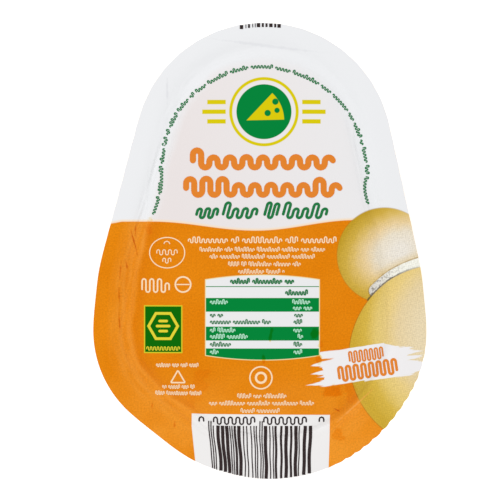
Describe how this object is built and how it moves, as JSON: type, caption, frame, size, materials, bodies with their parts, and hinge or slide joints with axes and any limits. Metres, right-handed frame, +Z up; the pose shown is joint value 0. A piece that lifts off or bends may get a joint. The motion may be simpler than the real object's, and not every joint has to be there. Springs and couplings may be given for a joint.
{
  "type": "sealed pack of smoked scamorza cheese",
  "caption": "Egg-shaped sealed pack of smoked scamorza cheese: printed lid film over a clear formed base that the pear-shaped cheese fills.",
  "frame": {"origin": "on the surface the pack lies on, under the middle of its outline", "axes": "+Z up out of the printed lid, +Y along the pack towards its narrow head, +X to the right of the label"},
  "size_m": [0.0994, 0.1362, 0.05],
  "materials": {
    "printed_film": "satin white film with an orange lower field, printed",
    "smoked_cheese": "smooth golden smoked rind under clear film",
    "clear_film": "clear formed film, glossy"
  },
  "bodies": {
    "root": {"lid_film": "printed_film", "filled_base": "smoked_cheese"}
  },
  "joints": []
}
